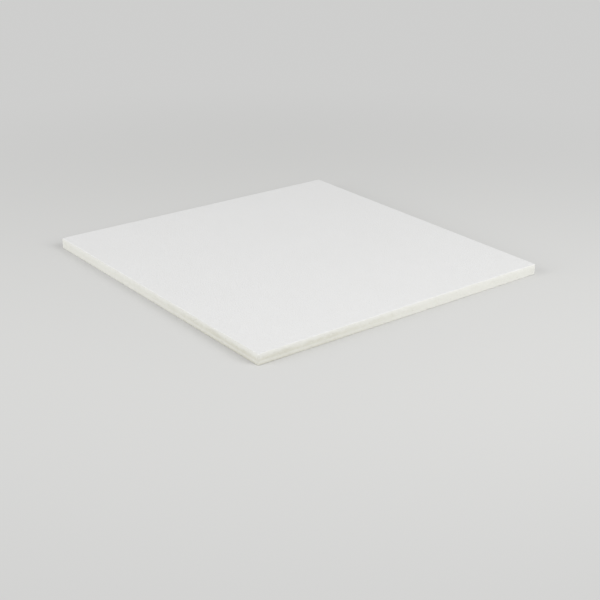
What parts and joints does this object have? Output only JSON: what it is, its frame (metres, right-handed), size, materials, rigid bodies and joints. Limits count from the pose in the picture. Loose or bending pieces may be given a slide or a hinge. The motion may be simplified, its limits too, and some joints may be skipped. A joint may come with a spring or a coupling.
{
  "type": "suspended ceiling tile",
  "caption": "Flat square lay-in ceiling tile of felted mineral fibre, with a matte white painted face and eased square edges, that rests on the flanges of a suspended tee grid.",
  "frame": {"origin": "centre of the back, on the surface that the tile lies on", "axes": "+Z out of the painted face, X and Y along the square's edges"},
  "size_m": [0.6032, 0.6032, 0.0191],
  "materials": {
    "painted_mineral_fibre": "matte"
  },
  "bodies": {
    "root": {"tile": "painted_mineral_fibre"}
  },
  "joints": []
}
